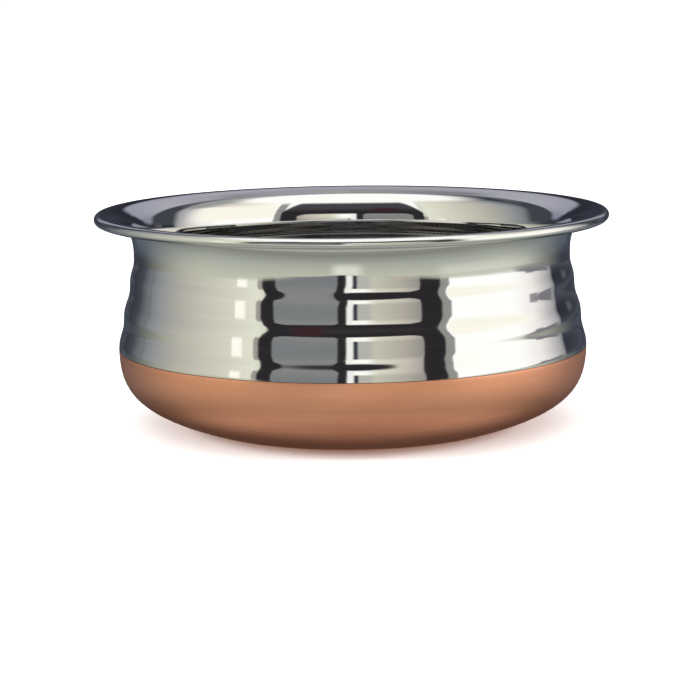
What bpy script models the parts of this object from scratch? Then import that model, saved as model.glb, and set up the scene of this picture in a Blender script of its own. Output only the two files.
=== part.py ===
"""Wide cooking pot: a ribbed steel vessel with a rolled rim and a copper bottom.

Both pieces are turned shapes. One outline, the envelope, describes the outside of the whole pot
below the lip. The copper takes its outside from the envelope, and the steel below the copper's
edge is set in by the copper's thickness and the seat gap, so the two outsides are flush.
"""
import math

import bpy

# Sizes in metres, angles in radians.
RIM_DIAMETER = 0.2600
POT_HEIGHT = 0.1080
SHEET_THICKNESS = 0.0010
COPPER_THICKNESS = 0.0008
SEAT_GAP = 0.0003

# The bead at the rim, rolled out and under, and the opening left between its edge and the lip.
BEAD_RADIUS = 0.0025
BEAD_OPENING = 0.0004

# The lip, its corner and the flare of the neck under it. The angles are from the vertical.
LIP_WIDTH = 0.0195
LIP_ANGLE = math.radians(75.0)
LIP_CORNER_RADIUS = 0.0078
FLARE_RADIUS = 0.0300
FLARE_ANGLE = math.radians(24.0)
NECK_HEIGHT = 0.0025

# The three ribs, from the neck down: the height of each and how far it widens the wall.
FIRST_RIB_HEIGHT = 0.0128
FIRST_RIB_STEP = 0.0022
SECOND_RIB_HEIGHT = 0.0188
SECOND_RIB_STEP = 0.0036
THIRD_RIB_HEIGHT = 0.0142
THIRD_RIB_STEP = 0.0027

# The rounded bottom: the flat that it stands on and the slope of the cone next to it.
BASE_DIAMETER = 0.1580
BASE_SLOPE = math.radians(17.0)
BASE_EDGE_RADIUS = 0.0080

# The copper's upper edge and the height over which the inside of the steel steps in behind it.
COPPER_EDGE_HEIGHT = 0.0395
STEP_HEIGHT = 0.0040

# How much of the bowl's height and width the bottom's curve spends on each end direction.
BOWL_SIDE_PULL = 0.53
BOWL_BASE_PULL = 0.82

SEGMENTS = 56
BEAD_STEP = math.radians(31.0)
CORNER_POINTS = 6
FLARE_POINTS = 5
RIB_POINTS = 7
BOWL_POINTS = 10
EDGE_POINTS = 2


def polar(centre, radius, angle):
    """The point at an angle on a circle in the profile plane."""
    return (centre[0] + radius * math.cos(angle), centre[1] + radius * math.sin(angle))


def bead_centre():
    return (RIM_DIAMETER / 2 - BEAD_RADIUS, POT_HEIGHT - BEAD_RADIUS)


def neck_radius():
    return RIM_DIAMETER / 2 - LIP_WIDTH


def curl_angles():
    """Angles round the bead from the lip's tangent point, over the rim, to the free edge.

    The bead's highest, widest and lowest points are always among them.
    """
    start = math.pi - LIP_ANGLE
    hollow = BEAD_RADIUS - SHEET_THICKNESS
    end = start - 2 * math.pi + math.acos((hollow - BEAD_OPENING) / BEAD_RADIUS)
    marks = [start, math.pi / 2, 0.0, -math.pi / 2, -math.pi, end]
    angles = [start]
    for first, last in zip(marks, marks[1:]):
        steps = math.ceil((first - last) / BEAD_STEP)
        for i in range(steps):
            angles.append(first + (last - first) * (i + 1) / steps)
    return angles


def lip_outline():
    """Underside of the lip, its corner and the neck's flare, from under the bead downwards."""
    hollow = BEAD_RADIUS - SHEET_THICKNESS
    start = polar(bead_centre(), hollow, math.pi - LIP_ANGLE)
    flare_out = FLARE_RADIUS * (1 - math.cos(FLARE_ANGLE))
    corner_out = LIP_CORNER_RADIUS * (math.cos(FLARE_ANGLE) - math.cos(LIP_ANGLE))
    corner_r = neck_radius() + flare_out + corner_out
    corner_z = start[1] - (start[0] - corner_r) / math.tan(LIP_ANGLE)
    centre = (corner_r + LIP_CORNER_RADIUS * math.cos(LIP_ANGLE),
              corner_z - LIP_CORNER_RADIUS * math.sin(LIP_ANGLE))
    points = [start]
    for i in range(CORNER_POINTS):
        angle = LIP_ANGLE + (FLARE_ANGLE - LIP_ANGLE) * i / (CORNER_POINTS - 1)
        points.append(polar(centre, LIP_CORNER_RADIUS, math.pi - angle))
    centre = (neck_radius() + FLARE_RADIUS, points[-1][1] - FLARE_RADIUS * math.sin(FLARE_ANGLE))
    for i in range(1, FLARE_POINTS):
        angle = FLARE_ANGLE * (1 - i / (FLARE_POINTS - 1))
        points.append(polar(centre, FLARE_RADIUS, math.pi - angle))
    return points


def rib(top, height, step):
    """One rib: the radius grows from top to bottom with no slope at either end."""
    points = []
    for i in range(1, RIB_POINTS):
        u = i / (RIB_POINTS - 1)
        grown = u - math.sin(2 * math.pi * u) / (2 * math.pi)
        points.append((top[0] + step * grown, top[1] - height * u))
    return points


def bowl_curve(start, end):
    """Cubic curve from the vertical side at start to the sloping edge of the base at end."""
    side = (start[0], start[1] - BOWL_SIDE_PULL * start[1])
    reach = BOWL_BASE_PULL * (start[0] - end[0])
    base = (end[0] + reach * math.cos(BASE_SLOPE), end[1] + reach * math.sin(BASE_SLOPE))
    points = []
    for i in range(1, BOWL_POINTS):
        t = i / BOWL_POINTS
        a, b, c, d = (1 - t) ** 3, 3 * (1 - t) ** 2 * t, 3 * (1 - t) * t * t, t ** 3
        points.append((a * start[0] + b * side[0] + c * base[0] + d * end[0],
                       a * start[1] + b * side[1] + c * base[1] + d * end[1]))
    return points


def base_edge():
    """Rounded edge between the flat base and the cone next to it, ending on the flat."""
    tangent = BASE_EDGE_RADIUS * math.tan(BASE_SLOPE / 2)
    centre = (BASE_DIAMETER / 2 - tangent, BASE_EDGE_RADIUS)
    points = []
    for i in range(EDGE_POINTS + 1):
        angle = -math.pi / 2 + BASE_SLOPE * (1 - i / EDGE_POINTS)
        points.append(polar(centre, BASE_EDGE_RADIUS, angle))
    return points


def envelope():
    """Outside of the whole pot, from the lip under the bead down to the base's centre."""
    points = lip_outline()
    neck_end = (neck_radius(), points[-1][1] - NECK_HEIGHT)
    points.append(neck_end)
    points += rib(neck_end, FIRST_RIB_HEIGHT, FIRST_RIB_STEP)
    points += rib(points[-1], SECOND_RIB_HEIGHT, SECOND_RIB_STEP)
    points += rib(points[-1], THIRD_RIB_HEIGHT, THIRD_RIB_STEP)
    edge = base_edge()
    points += bowl_curve(points[-1], edge[0])
    points += edge
    points.append((0.0, 0.0))
    return points


def cut_at(points, height):
    """The outline split at a height: the part above and the part below, both with the cut point."""
    for i in range(len(points) - 1):
        (r0, z0), (r1, z1) = points[i], points[i + 1]
        if z0 > height >= z1:
            share = (z0 - height) / (z0 - z1)
            cut = (r0 + share * (r1 - r0), height)
            below = points[i + 1:]
            if z1 > height - 1e-6:
                below = points[i + 2:]
            return points[:i + 1] + [cut], [cut] + below
    raise ValueError("the copper's edge lies outside the pot's side")


def inward(points, distances):
    """The outline moved to its inner side, each corner by its own distance, corners mitred."""
    moved = []
    last = len(points) - 1
    for i, (r, z) in enumerate(points):
        before = points[max(i - 1, 0)]
        after = points[min(i + 1, last)]
        first = (r - before[0], z - before[1]) if i > 0 else (after[0] - r, after[1] - z)
        second = (after[0] - r, after[1] - z) if i < last else first
        a = 1 / math.hypot(*first)
        b = 1 / math.hypot(*second)
        normal = (first[1] * a + second[1] * b, -first[0] * a - second[0] * b)
        size = math.hypot(*normal)
        scale = distances[i] * 2 / size ** 2
        moved.append((r + normal[0] * scale, z + normal[1] * scale))
    return moved


def steel_profile():
    """Closed sheet outline, from the floor's centre inside, over the bead and down the outside."""
    whole = envelope()
    set_in = COPPER_THICKNESS + SEAT_GAP
    top_of_step = COPPER_EDGE_HEIGHT + SEAT_GAP
    upper, lower = cut_at(whole, top_of_step)
    seat = inward(lower, [set_in] * len(lower))
    inner_upper, rest = cut_at(whole, top_of_step + STEP_HEIGHT)
    halfway = cut_at(rest, top_of_step + STEP_HEIGHT / 2)[0][-1]
    inner_lower = lower[1:]
    path = inner_upper + [halfway, lower[0]] + inner_lower
    distances = [SHEET_THICKNESS] * len(inner_upper)
    distances += [SHEET_THICKNESS + set_in / 2, SHEET_THICKNESS + set_in]
    distances += [SHEET_THICKNESS + set_in] * len(inner_lower)
    inside = inward(path, distances)
    centre = bead_centre()
    hollow = BEAD_RADIUS - SHEET_THICKNESS
    angles = curl_angles()
    profile = list(reversed(inside[1:]))
    profile += [polar(centre, BEAD_RADIUS, angle) for angle in angles]
    profile += [polar(centre, hollow, angle) for angle in reversed(angles)]
    profile += upper[1:]
    profile += seat
    return profile


def copper_profile():
    """Closed shell outline, from the centre inside, over the upper edge and down the outside."""
    outside = cut_at(envelope(), COPPER_EDGE_HEIGHT)[1]
    inside = inward(outside, [COPPER_THICKNESS] * len(outside))
    inside[0] = (inside[0][0], COPPER_EDGE_HEIGHT)
    return list(reversed(inside)) + outside


def material(name, colour, roughness):
    made = bpy.data.materials.new(name)
    made.use_nodes = True
    shader = made.node_tree.nodes["Principled BSDF"]
    shader.inputs["Base Color"].default_value = colour
    shader.inputs["Metallic"].default_value = 1.0
    shader.inputs["Roughness"].default_value = roughness
    return made


def turned(name, profile, surface, collection):
    """A closed body of revolution about +Z from a profile whose ends lie on the axis."""
    points = [(max(r, 0.0), 0.0, z) for r, z in profile]
    points[0] = (0.0, 0.0, points[0][2])
    points[-1] = (0.0, 0.0, points[-1][2])
    edges = [(i, i + 1) for i in range(len(points) - 1)]
    mesh = bpy.data.meshes.new(name)
    mesh.from_pydata(points, edges, [])
    piece = bpy.data.objects.new(name, mesh)
    collection.objects.link(piece)
    piece.data.materials.append(surface)
    screw = piece.modifiers.new("turn", "SCREW")
    screw.axis = "Z"
    screw.angle = 2 * math.pi
    screw.steps = SEGMENTS
    screw.render_steps = SEGMENTS
    screw.use_merge_vertices = True
    screw.merge_threshold = 0.00001
    screw.use_smooth_shade = True
    return piece


def build():
    for old in list(bpy.data.objects):
        bpy.data.objects.remove(old)
    collection = bpy.data.collections.new("wide_cooking_pot")
    bpy.context.scene.collection.children.link(collection)
    steel = material("polished_steel", (0.62, 0.62, 0.61, 1.0), 0.08)
    copper = material("satin_copper", (0.72, 0.41, 0.27, 1.0), 0.40)
    vessel = turned("steel_vessel", steel_profile(), steel, collection)
    bottom = turned("copper_bottom", copper_profile(), copper, collection)
    bottom.parent = vessel


build()
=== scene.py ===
import math

import bpy
import numpy as np
from mathutils import Matrix, Vector


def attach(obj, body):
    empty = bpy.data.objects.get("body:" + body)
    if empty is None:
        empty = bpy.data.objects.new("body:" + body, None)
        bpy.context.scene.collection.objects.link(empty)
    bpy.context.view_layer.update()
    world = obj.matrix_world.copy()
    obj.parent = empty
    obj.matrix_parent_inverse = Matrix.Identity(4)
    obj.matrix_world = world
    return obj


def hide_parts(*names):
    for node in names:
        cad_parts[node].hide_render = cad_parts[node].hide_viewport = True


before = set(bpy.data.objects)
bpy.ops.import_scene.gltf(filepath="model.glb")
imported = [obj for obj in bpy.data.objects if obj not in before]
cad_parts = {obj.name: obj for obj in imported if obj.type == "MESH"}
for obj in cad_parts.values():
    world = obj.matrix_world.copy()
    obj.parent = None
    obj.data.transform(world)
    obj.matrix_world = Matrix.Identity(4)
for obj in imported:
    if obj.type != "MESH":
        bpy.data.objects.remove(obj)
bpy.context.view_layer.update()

# Sizes in metres and angles in radians, as in the part. Each rib is its height and how far it
# widens the wall. The bowl's pulls say how much of its height and width the bottom's curve spends
# on its direction at either end.
RIM_RADIUS = 0.1300
POT_HEIGHT = 0.1080
SHEET = 0.0010
COPPER = 0.0008
SEAT_GAP = 0.0003
BEAD_RADIUS = 0.0025
LIP_WIDTH = 0.0195
LIP_ANGLE = math.radians(75.0)
LIP_CORNER = 0.0078
FLARE_RADIUS = 0.0300
FLARE_ANGLE = math.radians(24.0)
NECK_HEIGHT = 0.0025
RIBS = ((0.0128, 0.0022), (0.0188, 0.0036), (0.0142, 0.0027))
BASE_RADIUS = 0.0790
BASE_SLOPE = math.radians(17.0)
BASE_EDGE = 0.0080
BOWL_SIDE_PULL = 0.53
BOWL_BASE_PULL = 0.82
COPPER_EDGE = 0.0395
STEP_HEIGHT = 0.0040

# Details of this finer model: the gap at the bead's free edge, how far the lip's upper curve
# keeps its direction at the throat and at the bead, the rounding of the copper's outer top corner
# and how much lower its inner top corner lies.
BEAD_OPENING = 0.00005
LIP_THROAT_PULL = 0.0034
LIP_BEAD_PULL = 0.0066
COPPER_ROUNDING = 0.00015
COPPER_INNER_DROP = 0.0001

# The ribs are pressed a little unevenly. Each row is one rib: how much it is eased, as a share of
# its step, at places round the pot in degrees from the front. Below 0 it is pressed more sharply.
EASE_PLACES = (-180, -19.5, -15, -5, 0.5, 9, 14, 20, 27, 180)
EASES = ((0.016, 0.006, 0.196, 0.196, -0.004, 0.011, 0.046, 0.066, 0.036, 0.016),
         (-0.084,) * 10,
         (0.077, 0.062, 0.082, 0.082, 0.023, 0.077, 0.213, 0.253, 0.253, 0.077))

# How fast the wall widens, in metres per metre of fall, at the first rib's top, at the two places
# where ribs meet and at the third rib's foot.
MEETING_SLOPES = (0.014, 0.068, 0.060, 0.065)

# Points on each stretch of the profiles, and round the pot. The inside of the wall ends at its
# point number LIP_START, where the lip's upper curve takes over, and the seat under the copper
# keeps one point in every SEAT_SPACING.
LIP_POINTS = 4
CORNER_POINTS = 22
FLARE_POINTS = 16
NECK_POINTS = 3
RIB_POINTS = 22
BOWL_POINTS = 42
EDGE_POINTS = 6
BASE_POINTS = 8
LIP_START = 8
LIP_TOP_POINTS = 22
BEAD_POINTS = 36
HOLLOW_POINTS = 8
SEAT_SPACING = 3
ROUNDING_POINTS = 5
TURNS = 288
SHARP_ANGLE = math.radians(35)


def arc(centre, radius, start, end, count):
    """Points of a circle between two angles."""
    angle = np.linspace(start, end, count)
    return np.stack([centre[0] + radius * np.cos(angle), centre[1] + radius * np.sin(angle)], 1)


def line(start, end, count):
    """Points of a straight line between two profile points."""
    return np.linspace(start, end, count)


def cubic(start, first_pull, second_pull, end, count):
    """Points of a cubic curve from start to end, drawn towards two pull points on its way.

    Each point is (1 - t)^3 start + 3 (1 - t)^2 t first + 3 (1 - t) t^2 second + t^3 end, for t in
    even steps from 0 to 1. The start is left out.
    """
    t = np.linspace(0, 1, count)[1:, None]
    return ((1 - t) ** 3 * start + 3 * (1 - t) ** 2 * t * first_pull
            + 3 * (1 - t) * t * t * second_pull + t ** 3 * end)


def pressed_rib(top, height, step):
    """One rib: radius = top radius + step (u - sin(2 pi u) / 2 pi), height falls evenly with u."""
    u = np.linspace(0, 1, RIB_POINTS)[1:]
    grown = u - np.sin(2 * np.pi * u) / (2 * np.pi)
    return np.stack([top[0] + step * grown, top[1] - height * u], 1)


def bead_centre():
    """Centre of the rolled bead in the profile plane."""
    return np.array([RIM_RADIUS - BEAD_RADIUS, POT_HEIGHT - BEAD_RADIUS])


def lip_outline():
    """Underside of the lip from under the bead, its corner, the flare and the upright neck."""
    hollow = BEAD_RADIUS - SHEET
    start = bead_centre() + hollow * np.array([-np.cos(LIP_ANGLE), np.sin(LIP_ANGLE)])
    neck = RIM_RADIUS - LIP_WIDTH
    corner_r = (neck + FLARE_RADIUS * (1 - np.cos(FLARE_ANGLE))
                + LIP_CORNER * (np.cos(FLARE_ANGLE) - np.cos(LIP_ANGLE)))
    corner_z = start[1] - (start[0] - corner_r) / np.tan(LIP_ANGLE)
    centre = (corner_r + LIP_CORNER * np.cos(LIP_ANGLE), corner_z - LIP_CORNER * np.sin(LIP_ANGLE))
    corner = arc(centre, LIP_CORNER, np.pi - LIP_ANGLE, np.pi - FLARE_ANGLE, CORNER_POINTS)
    centre = (neck + FLARE_RADIUS, corner[-1][1] - FLARE_RADIUS * np.sin(FLARE_ANGLE))
    flare = arc(centre, FLARE_RADIUS, np.pi - FLARE_ANGLE, np.pi, FLARE_POINTS)
    end = (neck, flare[-1][1] - NECK_HEIGHT)
    return np.vstack([line(start, corner[0], LIP_POINTS)[:-1], corner, flare[1:],
                      line(flare[-1], end, NECK_POINTS)[1:]])


def pot_outline():
    """Outside of the pot: lip's underside, neck, three ribs, bottom, flat base.

    The bottom is one cubic curve from the upright side to the rounded edge of the base.
    """
    parts = [lip_outline()]
    for height, step in RIBS:
        parts.append(pressed_rib(parts[-1][-1], height, step))
    side = parts[-1][-1]
    tangent = BASE_EDGE * np.tan(BASE_SLOPE / 2)
    edge = arc((BASE_RADIUS - tangent, BASE_EDGE), BASE_EDGE, BASE_SLOPE - np.pi / 2, -np.pi / 2,
               EDGE_POINTS)
    slope = np.array([np.cos(BASE_SLOPE), np.sin(BASE_SLOPE)])
    side_pull = side - [0, BOWL_SIDE_PULL * side[1]]
    base_pull = edge[0] + BOWL_BASE_PULL * (side[0] - edge[0][0]) * slope
    parts.append(cubic(side, side_pull, base_pull, edge[0], BOWL_POINTS)[:-1])
    parts += [edge, line(edge[-1], (0, 0), BASE_POINTS)[1:]]
    return np.concatenate(parts)


def inward(outline, distance):
    """The outline moved to its inner side along the mean normal of its two neighbouring lines."""
    step = np.diff(outline, axis=0)
    step /= np.linalg.norm(step, axis=1)[:, None]
    before = np.concatenate([step[:1], step])
    after = np.concatenate([step, step[-1:]])
    normal = np.stack([before[:, 1] + after[:, 1], -before[:, 0] - after[:, 0]], 1)
    return outline + normal * (2 * distance / np.sum(normal ** 2, 1))[:, None]


def cut(outline, height):
    """The outline split at a height, with the point at that height in both parts."""
    z = outline[:, 1]
    i = int(np.argmax(z < height))
    share = (z[i - 1] - height) / (z[i - 1] - z[i])
    point = outline[i - 1] + share * (outline[i] - outline[i - 1])
    return np.vstack([outline[:i], point]), np.vstack([point, outline[i:]])


def lip_top(inside):
    """Upper side of the lip: a cubic curve from the inside of the throat to the bead's top.

    It starts along the corner's slope and ends level, which gives the lip its slight dome.
    """
    start = inside[LIP_START]
    way = start - inside[LIP_START + 1]
    end = bead_centre() + [0, BEAD_RADIUS]
    return cubic(start, start + LIP_THROAT_PULL * way / np.linalg.norm(way),
                 end - [LIP_BEAD_PULL, 0], end, LIP_TOP_POINTS)


def steel_profile():
    """Closed sheet: inside from the floor's centre up, over the lip, round the bead, down outside.

    Just above the copper's edge the inside steps in by the share f f (3 - 2 f) of the set-in,
    where f grows from 0 to 1 down the step. Below the edge the outside is set in, which leaves
    room for the copper and its seat gap.
    """
    whole = pot_outline()
    set_in = COPPER + SEAT_GAP
    top = COPPER_EDGE + SEAT_GAP
    upper, lower = cut(whole, top)
    fall = np.clip((top + STEP_HEIGHT - whole[:, 1]) / STEP_HEIGHT, 0, 1)
    inside = inward(whole, SHEET + set_in * fall * fall * (3 - 2 * fall))
    hollow = BEAD_RADIUS - SHEET
    free_edge = -np.pi - LIP_ANGLE + np.arccos((hollow - BEAD_OPENING) / BEAD_RADIUS)
    bead = arc(bead_centre(), BEAD_RADIUS, np.pi / 2, free_edge, BEAD_POINTS)
    bead_inside = arc(bead_centre(), hollow, free_edge, np.pi - LIP_ANGLE, HOLLOW_POINTS)
    seat = inward(lower, set_in)[::SEAT_SPACING]
    seat[-1] = (0, set_in)
    return np.vstack([inside[:LIP_START - 1:-1], lip_top(inside), bead[1:], bead_inside[:-1],
                      upper, seat])


def rib_ease(angle, height):
    """Radius added to the even ribs, from the angle round the pot and the height.

    For each rib it is step e (sin(2 pi u) / (2 pi) - sin(4 pi u) / (4 pi)), where u runs from 0 at
    the rib's top to 1 at its foot and e is the rib's ease at that angle, plus the rib's height
    times a u (1 - u)^3 - b u^3 (1 - u), which gives the slopes a and b at its two ends.
    """
    front = (np.degrees(angle) + 270) % 360 - 180
    top = lip_outline()[-1, 1]
    added = np.zeros(np.broadcast(angle, height).shape)
    for (rib_height, step), ease, a, b in zip(RIBS, EASES, MEETING_SLOPES, MEETING_SLOPES[1:]):
        u = np.clip((top - height) / rib_height, 0, 1)
        wave = np.sin(2 * np.pi * u) / (2 * np.pi) - np.sin(4 * np.pi * u) / (4 * np.pi)
        added += step * np.interp(front, EASE_PLACES, ease) * wave
        added += rib_height * (a * u * (1 - u) ** 3 - b * u ** 3 * (1 - u))
        top -= rib_height
    return added


def copper_profile():
    """Closed shell: inside from the centre up, a softened upper edge, down the outside."""
    outside = cut(pot_outline(), COPPER_EDGE)[1]
    inside = inward(outside, COPPER)
    inside[0] = (inside[0][0], COPPER_EDGE - COPPER_INNER_DROP)
    corner = outside[0] - [COPPER_ROUNDING, COPPER_ROUNDING]
    round_edge = arc(corner, COPPER_ROUNDING, np.pi / 2, 0, ROUNDING_POINTS)
    return np.vstack([inside[::-1], round_edge, outside[1:]])


def ring_quads(rings, turns):
    """The four corner numbers of each face between rings of points, ring after ring."""
    i, j = np.meshgrid(np.arange(rings - 1), np.arange(turns), indexing="ij")
    here, beside = i * turns + j, i * turns + (j + 1) % turns
    return np.stack([here, here + turns, beside + turns, beside], 2).reshape(-1, 4)


def mesh_from_arrays(name, points, corners, sizes):
    """A mesh from all points, the corner numbers of all faces and how many corners each has."""
    mesh = bpy.data.meshes.new(name)
    mesh.vertices.add(len(points))
    mesh.vertices.foreach_set("co", points.ravel())
    mesh.loops.add(len(corners))
    mesh.loops.foreach_set("vertex_index", corners)
    mesh.polygons.add(len(sizes))
    mesh.polygons.foreach_set("loop_start", np.concatenate([[0], np.cumsum(sizes)[:-1]]))
    mesh.polygons.foreach_set("loop_total", sizes)
    mesh.update(calc_edges=True)
    return mesh


def placed(name, data):
    """A new object that shows the data, in the scene."""
    made = bpy.data.objects.new(name, data)
    bpy.context.scene.collection.objects.link(made)
    return made


def turned(name, profile, ease=None):
    """A surface of revolution: x = r cos a, y = r sin a, with the profile's ends on the axis.

    The radius r is the profile's, plus ease(a, height) where that is given.
    """
    profile = profile.copy()
    profile[[0, -1], 0] = 0
    angle = np.arange(TURNS) * 2 * np.pi / TURNS
    radius = np.repeat(profile[1:-1, 0][:, None], TURNS, 1)
    height = np.repeat(profile[1:-1, 1][:, None], TURNS, 1)
    if ease is not None:
        radius = radius + ease(angle[None, :], height)
    rings = np.stack([radius * np.cos(angle), radius * np.sin(angle), height], 2).reshape(-1, 3)
    points = np.vstack([rings, [[0, 0, profile[0, 1]], [0, 0, profile[-1, 1]]]])
    quads = ring_quads(len(radius), TURNS)
    j = np.arange(TURNS)
    last = len(rings) - TURNS
    first_fan = np.stack([np.full(TURNS, len(rings)), j, (j + 1) % TURNS], 1)
    last_fan = np.stack([last + j, np.full(TURNS, len(rings) + 1), last + (j + 1) % TURNS], 1)
    corners = np.concatenate([quads.ravel(), first_fan.ravel(), last_fan.ravel()])
    sizes = np.concatenate([np.full(len(quads), 4), np.full(2 * TURNS, 3)])
    mesh = mesh_from_arrays(name, points, corners, sizes)
    mesh.validate()
    mesh.shade_smooth()
    mesh.set_sharp_from_angle(angle=SHARP_ANGLE)
    return placed(name, mesh)


class Nodes:
    """Short calls for making one material's nodes and joining them."""

    def __init__(self, name):
        self.material = bpy.data.materials.new(name)
        self.material.use_nodes = True
        self.tree = self.material.node_tree
        self.shader = self.tree.nodes["Principled BSDF"]

    def add(self, kind, inputs, output=0, **settings):
        """A node with its inputs joined or set, and its settings; gives one of its outputs."""
        node = self.tree.nodes.new(kind)
        for key, value in settings.items():
            setattr(node, key, value)
        for key, value in inputs.items():
            if isinstance(value, bpy.types.NodeSocket):
                self.tree.links.new(value, node.inputs[key])
            else:
                node.inputs[key].default_value = value
        return node.outputs[output]

    def math(self, kind, first, second=0.0):
        return self.add("ShaderNodeMath", {0: first, 1: second}, operation=kind)

    def span(self, value, between, to, kind="LINEAR"):
        """The value's place between two numbers, as the same place between two others."""
        inputs = {0: value, 1: between[0], 2: between[1], 3: to[0], 4: to[1]}
        return self.add("ShaderNodeMapRange", inputs, interpolation_type=kind)

    def blend(self, share, first, second):
        """A number between two others: a mix node's number sockets are 2, 3 and output 0."""
        return self.add("ShaderNodeMix", {0: share, 2: first, 3: second})

    def mix(self, share, first, second):
        """A colour between two others: a mix node's colour sockets are 6, 7 and output 2."""
        return self.add("ShaderNodeMix", {0: share, 6: first, 7: second}, 2, data_type="RGBA")

    def noise(self, place, scale, detail, rough):
        inputs = {"Vector": place, "Scale": scale, "Detail": detail, "Roughness": rough}
        return self.add("ShaderNodeTexNoise", inputs)

    def bump(self, height, distance, under=None):
        inputs = {"Height": height, "Distance": distance, "Strength": 1.0}
        if under is not None:
            inputs["Normal"] = under
        return self.add("ShaderNodeBump", inputs)

    def join(self, output, socket):
        self.tree.links.new(output, self.shader.inputs[socket])

    def find_place(self):
        """Set place, the object's own coordinates, and from it the radius, height, aim and run.

        The aim is the unit arrow from the axis to the place, seen from above. The run is the
        radius + the height, so that it grows across the lathe's lines on walls and floor alike.
        """
        self.place = self.add("ShaderNodeTexCoord", {}, "Object")
        split = self.add("ShaderNodeSeparateXYZ", {0: self.place}).node
        flat = self.add("ShaderNodeCombineXYZ", {0: split.outputs[0], 1: split.outputs[1]})
        self.radius = self.add("ShaderNodeVectorMath", {0: flat}, 1, operation="LENGTH")
        self.aim = self.add("ShaderNodeVectorMath", {0: flat}, operation="NORMALIZE")
        self.height = split.outputs[2]
        self.run = self.math("ADD", self.radius, self.height)

    def lathe_lines(self, across, around, detail, rough):
        """Noise that changes fast across the lathe's lines and slowly along them."""
        slow = self.add("ShaderNodeVectorMath", {0: self.aim, 3: around}, operation="SCALE")
        fast = self.add("ShaderNodeCombineXYZ", {2: self.math("MULTIPLY", self.run, across)})
        place = self.add("ShaderNodeVectorMath", {0: slow, 1: fast}, operation="ADD")
        return self.noise(place, 1.0, detail, rough)


# The steel: the heights and radii over which the satin floor gives way to the mirror finish, the
# radii over which the bead turns dull and by how much, the ranges of its roughness, its colours,
# of which the satin floor's dark grey is painted shade inside the pot, the depth of its dents and
# grooves in metres, and how much of the grooves the mirror keeps.
SATIN_HEIGHTS = (0.036, 0.044)
SATIN_RADII = (0.1172, 0.1176)
DULL_RADII = (0.1262, 0.1274)
BEAD_DULLNESS = 0.11
MIRROR_ROUGHNESS = (0.018, 0.05)
MIRROR_BANDS = (0.0, 0.02)
SATIN_ROUGHNESS = (0.16, 0.30)
MIRROR_GREYS = ((0.66, 0.66, 0.645, 1.0), (0.69, 0.69, 0.68, 1.0))
SATIN_FLOOR_SHADE = (0.19, 0.18, 0.17, 1.0)
DENT_DEPTH = 0.00004
GROOVE_DEPTH = 0.000004
MIRROR_GROOVE_SHARE = 0.02


def polished_steel():
    """Mirror-polished sheet: faint lathe lines, slight dents, and a satin-spun floor inside.

    The rolled bead is rubbed a little dull. The satin floor is painted dark grey as shade inside the
    pot.
    """
    n = Nodes("polished_steel")
    n.find_place()
    fine = n.lathe_lines(across=9000.0, around=6.0, detail=3.0, rough=0.6)
    broad = n.lathe_lines(across=700.0, around=2.0, detail=2.0, rough=0.5)
    dents = n.noise(n.place, scale=38.0, detail=1.0, rough=0.4)
    satin = n.math("MULTIPLY", n.span(n.height, SATIN_HEIGHTS, (1.0, 0.0), "SMOOTHSTEP"),
                   n.span(n.radius, SATIN_RADII, (1.0, 0.0)))
    mirror = n.math("ADD", n.span(fine, (0.35, 0.7), MIRROR_ROUGHNESS),
                    n.span(broad, (0.4, 0.7), MIRROR_BANDS))
    mirror = n.math("ADD", mirror, n.span(n.radius, DULL_RADII, (0.0, BEAD_DULLNESS)))
    spun = n.span(fine, (0.3, 0.7), SATIN_ROUGHNESS)
    n.join(n.blend(satin, mirror, spun), "Roughness")
    tint = n.mix(n.span(broad, (0.3, 0.7), (0.0, 1.0)), *MIRROR_GREYS)
    # Painted shade: the satin floor gets a dark grey that stands for the shade inside the pot.
    n.join(n.mix(satin, tint, SATIN_FLOOR_SHADE), "Base Color")
    n.shader.inputs["Metallic"].default_value = 1.0
    dented = n.bump(dents, DENT_DEPTH)
    groove = n.math("MULTIPLY", fine, n.span(satin, (0.0, 1.0), (MIRROR_GROOVE_SHARE, 1.0)))
    n.join(n.bump(groove, GROOVE_DEPTH, dented), "Normal")
    return n.material


# The copper: the two tones of its bands, its heat-toned patches, its brushing and the redder,
# darker painted shade at its foot with the heights over which that sets in, the most that each of
# these three covers, the range of its roughness and the depth of the brushing in metres.
COPPER_BANDS = ((0.90, 0.395, 0.24, 1.0), (0.97, 0.45, 0.28, 1.0))
COPPER_PATCH = (0.85, 0.33, 0.19, 1.0)
COPPER_BRUSHED = (0.98, 0.54, 0.37, 1.0)
COPPER_FOOT_SHADE = (0.86, 0.29, 0.165, 1.0)
FOOT_SHADE_HEIGHTS = (0.026, 0.003)
PATCH_COVER = 0.5
BRUSH_COVER = 0.35
FOOT_SHADE_COVER = 0.6
BRUSH_ROUGHNESS = (0.34, 0.46)
BRUSH_DEPTH = 0.000012


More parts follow.
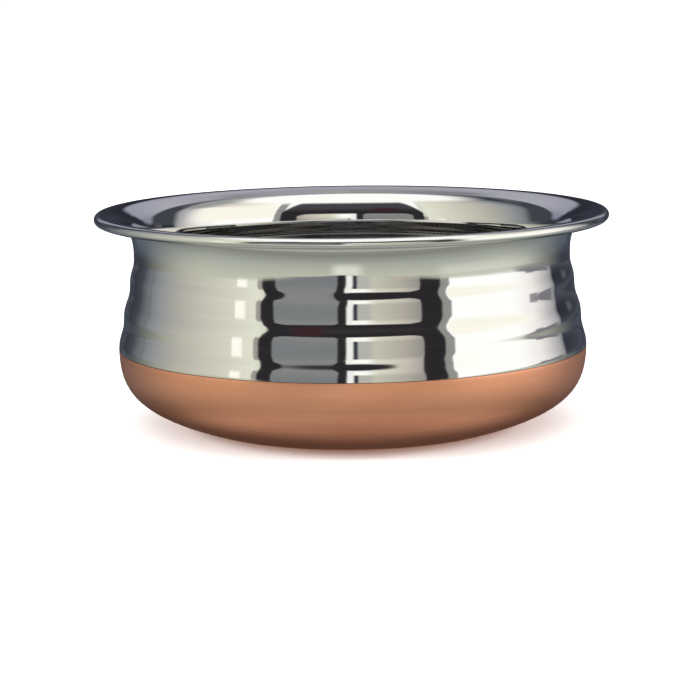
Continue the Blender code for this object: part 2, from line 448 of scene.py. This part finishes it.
def satin_copper():
    """Satin copper: fine brushing round the pot, broad tone bands, darker heat-toned patches."""
    n = Nodes("satin_copper")
    n.find_place()
    fine = n.lathe_lines(across=6000.0, around=9.0, detail=4.0, rough=0.65)
    broad = n.lathe_lines(across=300.0, around=1.5, detail=3.0, rough=0.5)
    patch = n.noise(n.place, scale=16.0, detail=3.0, rough=0.55)
    tone = n.mix(n.span(broad, (0.3, 0.7), (0.0, 1.0)), *COPPER_BANDS)
    tone = n.mix(n.span(patch, (0.45, 0.75), (0.0, PATCH_COVER)), tone, COPPER_PATCH)
    tone = n.mix(n.span(fine, (0.35, 0.7), (0.0, BRUSH_COVER)), tone, COPPER_BRUSHED)
    # Painted shade: a redder, darker tone laid on towards the base.
    tone = n.mix(n.span(n.height, FOOT_SHADE_HEIGHTS, (0.0, FOOT_SHADE_COVER)), tone, COPPER_FOOT_SHADE)
    n.join(tone, "Base Color")
    n.join(n.span(fine, (0.3, 0.7), BRUSH_ROUGHNESS), "Roughness")
    n.shader.inputs["Metallic"].default_value = 1.0
    n.join(n.bump(fine, BRUSH_DEPTH), "Normal")
    return n.material


def linear(colour):
    """Light value of a screen colour given from 0 to 255."""
    c = np.asarray(colour, float) / 255
    return np.where(c <= 0.04045, c / 12.92, ((c + 0.055) / 1.055) ** 2.4)


def rising(value, edge, soft):
    """0 below the edge and 1 above it, with a smooth step as wide as soft."""
    t = np.clip((value - edge) / soft + 0.5, 0, 1)
    return t * t * (3 - 2 * t)


def fade(value, stops):
    """Light that follows colour stops (place, red, green, blue) along a value."""
    stops = np.array(stops, float)
    light = linear(stops[:, 1:])
    return np.stack([np.interp(value, stops[:, 0], light[:, k]) for k in range(3)], -1)


def lay(light, colour, *edges):
    """A colour or a fade laid over the light, inside its edges.

    An edge is (value, place, soft): the colour covers where the value is above the place, or below
    it where soft is negative, and the step between is as wide as soft.
    """
    share = 1.0
    for value, edge, soft in edges:
        share = share * (rising(value, edge, soft) if soft > 0 else 1 - rising(value, edge, -soft))
    if np.ndim(colour) == 1:
        colour = linear(colour)
    return light + (colour - light) * share[..., None]


# Colours of the studio, as screen values from 0 to 255. A list of four numbers each is a fade: a
# place in degrees, along the side angle or the rise, and the colour there.
OPEN_SKY = (252, 252, 250)
LEFT_WALL = ((-141, 50, 53, 60), (-131, 63, 67, 76), (-110, 138, 141, 145), (-87, 180, 177, 166),
             (-46, 222, 222, 206))
LEFT_STRIP = (253, 250, 239)
RIGHT_WALL = ((82, 255, 255, 253), (98, 236, 232, 229), (114, 168, 166, 170))
RIGHT_WALL_BAND = (249, 246, 234)
RIGHT_WALL_TOP = ((47, 254, 250, 240), (92, 209, 205, 192), (112, 150, 152, 152))
ARCH_EDGE = ((40, 62, 64, 71), (52, 100, 102, 109))
ARCH_INSIDE = ((10, 127, 128, 145), (42, 170, 170, 180))
ARCH_CROWN = (150, 150, 158)
ARCH_FOOT = ((-8, 74, 77, 87), (0, 51, 54, 63), (12, 38, 40, 49))
FOOT_SPOT = (82, 85, 92)
LEFT_REVEAL = (216, 216, 202)
LEFT_REVEAL_FOOT = (153, 151, 144)
RIGHT_JAMB = (143, 142, 140)
FRAME = ((25, 42, 39, 43), (33, 66, 64, 68))
FRAME_GLOW = (56, 38, 42)
LEFT_PANE = ((-9, 116, 120, 123), (25, 134, 135, 133))
RIGHT_PANE = ((7, 178, 177, 171), (10, 192, 191, 176), (24, 172, 167, 156), (32, 147, 142, 138))
PANE_CORNER = (250, 250, 244)
PANE_EDGE = (236, 237, 234)
PANE_LINE = (44, 53, 62)
TABLE_FRONT = ((-90, 120, 121, 116), (-52, 168, 169, 162), (-46, 134, 137, 130),
               (-40, 128, 131, 123), (-24, 164, 168, 159), (-6, 186, 188, 171))
TABLE_REAR = ((-75, 130, 130, 125), (-47, 62, 61, 62), (-38, 40, 41, 46), (-22, 92, 98, 108),
              (-12, 80, 86, 98), (-6, 50, 54, 63))
TABLE_DARK = (34, 33, 36)
TABLE_GLINT = (214, 217, 203)
TABLE_RIGHT = (203, 205, 195)
GREY_SPOT = (148, 144, 148)
GREY_WEDGE = (120, 118, 124)

# Where the table ends: its rise at side angles.
TABLE_EDGE_SIDES = (-45, -36, -20, -5, 6, 18, 45)
TABLE_EDGE_RISES = (-5.7, -6.2, -7.2, -8.9, -7.6, -6.7, -5.7)


def lay_walls(light, side, rise):
    """The side walls, darker towards the back, and on them a bright strip, a band and a top."""
    top = 50 + 11 * rising(np.abs(side), 85, 90)
    light = lay(light, fade(side, LEFT_WALL), (side, -46.2, -1.2), (rise, top, -16))
    light = lay(light, fade(side, RIGHT_WALL), (side, 46.7, 1.2), (rise, top, -16))
    light = lay(light, RIGHT_WALL_BAND, (side, 47.5, 1.2), (side, 102, -24), (rise, 13, 9),
                (rise, 40, -8))
    light = lay(light, fade(side, RIGHT_WALL_TOP), (side, 47.5, 1.2), (rise, 38, 8),
                (rise, top, -10))
    return lay(light, LEFT_STRIP, (side, -57.2, 1.2), (side, -51.8, -1.8), (rise, 8, -9))


def lay_arch(light, side, rise):
    """The arch behind the pot: dark at its edge, lilac inside, over a slate strip at its foot.

    Each outline is where (behind / width)^3 + (over / height)^3 = 1. Here behind is the side angle
    from a line nearly straight behind, and over is how far the rise is above 6 degrees.
    """
    behind = np.abs((side - 179 + 540) % 360 - 180)
    over = np.maximum(rise - 6, 0)
    outer = ((behind / 61) ** 3 + (over / 47) ** 3) ** (1 / 3)
    inner = ((behind / 36.5) ** 3 + (over / 41) ** 3) ** (1 / 3)
    light = lay(light, fade(rise, ARCH_EDGE), (outer, 1.0, -0.14))
    light = lay(light, fade(rise, ARCH_INSIDE), (inner, 1.0, -0.16))
    light = lay(light, ARCH_CROWN, (behind, 12, -14), (rise, 38, 10), (rise, 58, -10))
    foot = fade(rise, ARCH_FOOT)
    foot_top = 10 + 8 * rising(-behind, -20, 24)
    light = lay(light, foot, (side, 119.2, 2.5), (rise, foot_top, -4))
    light = lay(light, foot, (side, -140, -6), (rise, foot_top, -4))
    light = lay(light, fade(side, LEFT_WALL), (side, -119, -2), (side, -143, 2), (rise, 9, -4))
    return lay(light, FOOT_SPOT, (side, 131.5, 3), (side, 139, -6), (rise, 1.5, 4), (rise, 11, -7))


def lay_window(light, side, rise):
    """The window in front: what stands beside it, its dark frame and its two panes.

    The frame and the panes have rounded upper corners, where their tops fall with the side angle.
    """
    light = lay(light, LEFT_REVEAL, (side, -46.4, 1.0), (side, -42, -1.0), (rise, 46, -10))
    light = lay(light, LEFT_REVEAL_FOOT, (side, -46.2, 1.0), (side, -42, -1.0), (rise, 13, -5))
    jamb = 47.4 - 0.7 * rising(rise, 9, 6)
    light = lay(light, RIGHT_JAMB, (side, 41, 1.0), (side, jamb, -1.0), (rise, 44, -10))
    frame_top = 44.5 - 0.45 * np.clip(np.abs(side) - 32, 0, 14) ** 1.6
    light = lay(light, fade(rise, FRAME), (side, -43.8, 1.2), (side, 42.7, -1.2),
                (rise, frame_top, -6))
    light = lay(light, FRAME_GLOW, (side, -29, 6), (side, -14, -6), (rise, 23, 4), (rise, 32, -6))
    left_top = 19.2 - 0.30 * np.clip(-32 - side, 0, 9) ** 1.5 - 0.8 * np.clip(side + 9.5, 0, 9) ** 1.5
    light = lay(light, fade(rise, LEFT_PANE), (side, -37.1, 1.0), (side, -7.0, -1.0),
                (rise, left_top, -2.2))
    right_top = 19.4 - 0.3 * np.clip(side - 27, 0, 9) ** 1.5
    right_pane = fade(side, RIGHT_PANE) * (1 + 0.32 * rising(rise, 10, 11))[..., None]
    light = lay(light, right_pane, (side, -2.9, 1.2), (side, 32.3, -1.0), (rise, right_top, -2.2))
    light = lay(light, PANE_CORNER, (side, -2.7, 1.2), (side, 8.5, -7), (rise, 8.5, 5),
                (rise, 18.6, -2.6))
    light = lay(light, PANE_EDGE, (side, -2.7, 1.2), (side, 0.1, -1.4), (rise, 18, -2.2))
    return lay(light, PANE_LINE, (side, 0.3, 1.1), (side, 2.2, -1.1), (rise, 8, -3.5))


def lay_table(light, side, rise):
    """The table below: pale in front, dark at the rear, with a glint and a few soft marks."""
    away = np.abs(side)
    edge = np.interp(side, TABLE_EDGE_SIDES, TABLE_EDGE_RISES)
    front = fade(rise, TABLE_FRONT)
    rear = fade(rise, TABLE_REAR)
    table = front + (rear - front) * rising(away, 107 + 24 * rising(-rise, 46, 18), 66)[..., None]
    light = lay(light, table, (rise, edge, -0.9))
    light = lay(light, TABLE_DARK, (away, 150, 14), (rise, -10, -6), (rise, -60, 14))
    light = lay(light, TABLE_GLINT, (side, -9, 6), (side, 4, -8), (rise, edge - 1, -2),
                (rise, -24, 14))
    light = lay(light, TABLE_RIGHT, (side, 44, 10), (side, 95, -40), (rise, edge - 1, -2),
                (rise, -16, 18))
    light = lay(light, GREY_SPOT, (side, 95.5, 2.5), (side, 102, -2.5), (rise, -2.6, -2),
                (rise, -6, 1.5))
    wedge_top = -6.4 + 0.14 * (side - 84)
    return lay(light, GREY_WEDGE, (side, 86, 5), (side, 116, -4), (rise, wedge_top, -1.2),
               (rise, -6.2, 1))


def surround_light(side, rise):
    """Light of the studio by direction: side angle from the camera's side, rise above level.

    Both are in degrees, and each part is laid over the one before.
    """
    light = np.zeros(side.shape + (3,)) + linear(OPEN_SKY)
    for lay_part in (lay_walls, lay_arch, lay_window, lay_table):
        light = lay_part(light, side, rise)
    return light


# The ball of soft light: its radius, the height of its centre, the angle between its points in
# degrees, and the share of light that the steel sends back, for which its glow makes up.
SURROUND_RADIUS = 0.9
SURROUND_CENTRE = POT_HEIGHT * 0.7
SURROUND_STEP = 0.4
STEEL_SHINE = 0.665


def surround():
    """The studio round the pot, as the polished steel sees it: a closed ball of soft light.

    x = R cos(rise) sin(side), y = -R cos(rise) cos(side), z = R sin(rise) + the centre's height.
    """
    side = np.radians(np.arange(-180, 180, SURROUND_STEP))
    rise = np.radians(np.arange(-90, 90 + SURROUND_STEP, SURROUND_STEP))
    rise_grid, side_grid = np.meshgrid(rise, side, indexing="ij")
    points = np.stack([SURROUND_RADIUS * np.cos(rise_grid) * np.sin(side_grid),
                       -SURROUND_RADIUS * np.cos(rise_grid) * np.cos(side_grid),
                       SURROUND_RADIUS * np.sin(rise_grid) + SURROUND_CENTRE], 2).reshape(-1, 3)
    quads = ring_quads(len(rise), len(side))
    mesh = mesh_from_arrays("surround", points, quads.ravel(), np.full(len(quads), 4))
    light = surround_light(np.degrees(side_grid), np.degrees(rise_grid)).reshape(-1, 3) / STEEL_SHINE
    glow = mesh.attributes.new("glow", "FLOAT_COLOR", "POINT")
    glow.data.foreach_set("color", np.hstack([light, np.ones((len(light), 1))]).ravel())
    material = bpy.data.materials.new("surround")
    material.use_nodes = True
    tree = material.node_tree
    tree.nodes.remove(tree.nodes["Principled BSDF"])
    emission = tree.nodes.new("ShaderNodeEmission")
    colour = tree.nodes.new("ShaderNodeAttribute")
    colour.attribute_name = "glow"
    tree.links.new(colour.outputs["Color"], emission.inputs["Color"])
    tree.links.new(emission.outputs[0], tree.nodes["Material Output"].inputs["Surface"])
    mesh.materials.append(material)
    ball = placed("surround", mesh)
    ball.visible_camera = False
    ball.visible_diffuse = False
    ball.visible_shadow = False


FLOOR_RADIUS = 40.0
FLOOR_SIDES = 96
FLOOR_GREY = (0.86, 0.86, 0.86, 1.0)


def pale_floor():
    """A round, matt, pale floor at height 0. The steel mirrors the surround's table in its place."""
    n = Nodes("pale_floor")
    n.shader.inputs["Base Color"].default_value = FLOOR_GREY
    n.shader.inputs["Roughness"].default_value = 0.9
    n.shader.inputs["Specular IOR Level"].default_value = 0.0
    angle = np.arange(FLOOR_SIDES) * 2 * np.pi / FLOOR_SIDES
    rim = np.stack([np.cos(angle), np.sin(angle), 0 * angle], 1) * FLOOR_RADIUS
    mesh = bpy.data.meshes.new("floor")
    mesh.from_pydata(rim.tolist(), [], [list(range(FLOOR_SIDES))])
    mesh.materials.append(n.material)
    piece = placed("floor", mesh)
    piece.visible_glossy = False


# The photograph's camera, fitted to the rim and the outline: the focal length in pixels of a
# picture 700 pixels wide, its place in metres, and how far it tilts down and rolls, in radians.
PICTURE_WIDTH = 700
FOCAL_PIXELS = 2376.8
SENSOR_WIDTH = 36.0
CAMERA_LEFT = 0.001454
CAMERA_DISTANCE = 1.2
CAMERA_OVER_RIM = 0.12569
CAMERA_TILT = 0.163515
CAMERA_ROLL = 0.011248


def camera():
    """The photograph's camera: 1.2 m from the pot's axis, about 6 degrees above the rim."""
    data = bpy.data.cameras.new("photo_camera")
    data.sensor_width = SENSOR_WIDTH
    data.lens = FOCAL_PIXELS / PICTURE_WIDTH * SENSOR_WIDTH
    data.clip_start = 0.05
    data.clip_end = 60.0
    view = placed("photo_camera", data)
    place = Matrix.Translation((-CAMERA_LEFT, -CAMERA_DISTANCE, POT_HEIGHT + CAMERA_OVER_RIM))
    tilt = Matrix.Rotation(math.pi / 2 - CAMERA_TILT, 4, "X")
    view.matrix_world = place @ tilt @ Matrix.Rotation(-CAMERA_ROLL, 4, "Z")
    bpy.context.scene.camera = view


# The lamps that light the floor: name, place, size in metres and power in watts. ROOM_LIGHT is
# the strength of the even light from all round.
LAMPS = (("front_light", (-0.3, -2.2, 1.6), 1.6, 9.0),
         ("left_light", (-2.4, -0.3, 0.8), 1.2, 95.0),
         ("right_light", (2.4, -0.3, 0.8), 1.2, 85.0))
LAMP_TARGET = (0, 0, 0.05)
ROOM_LIGHT = 1.25


def soft_lamp(name, place, size, power):
    """A square lamp aimed at the pot, not seen in the polished steel."""
    data = bpy.data.lights.new(name, "AREA")
    data.shape = "SQUARE"
    data.size = size
    data.energy = power
    lamp = placed(name, data)
    lamp.location = place
    lamp.rotation_mode = "QUATERNION"
    lamp.rotation_quaternion = (Vector(place) - Vector(LAMP_TARGET)).to_track_quat("Z", "Y")
    lamp.visible_glossy = False


def white_room():
    """An even white light from all round, not seen in the polished steel."""
    world = bpy.data.worlds.new("white_room")
    world.use_nodes = True
    background = world.node_tree.nodes["Background"]
    background.inputs["Color"].default_value = (1, 1, 1, 1)
    background.inputs["Strength"].default_value = ROOM_LIGHT
    bpy.context.scene.world = world
    world.cycles_visibility.glossy = False


bpy.context.scene.view_settings.view_transform = "Standard"
bpy.context.scene.view_settings.look = "None"
white_room()
camera()
surround()
pale_floor()
for lamp in LAMPS:
    soft_lamp(*lamp)

vessel = turned("vessel_sheet", steel_profile(), rib_ease)
vessel.data.materials.append(polished_steel())
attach(vessel, "root")
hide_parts("steel_vessel")

shell = turned("copper_shell", copper_profile())
shell.data.materials.append(satin_copper())
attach(shell, "root")
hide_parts("copper_bottom")
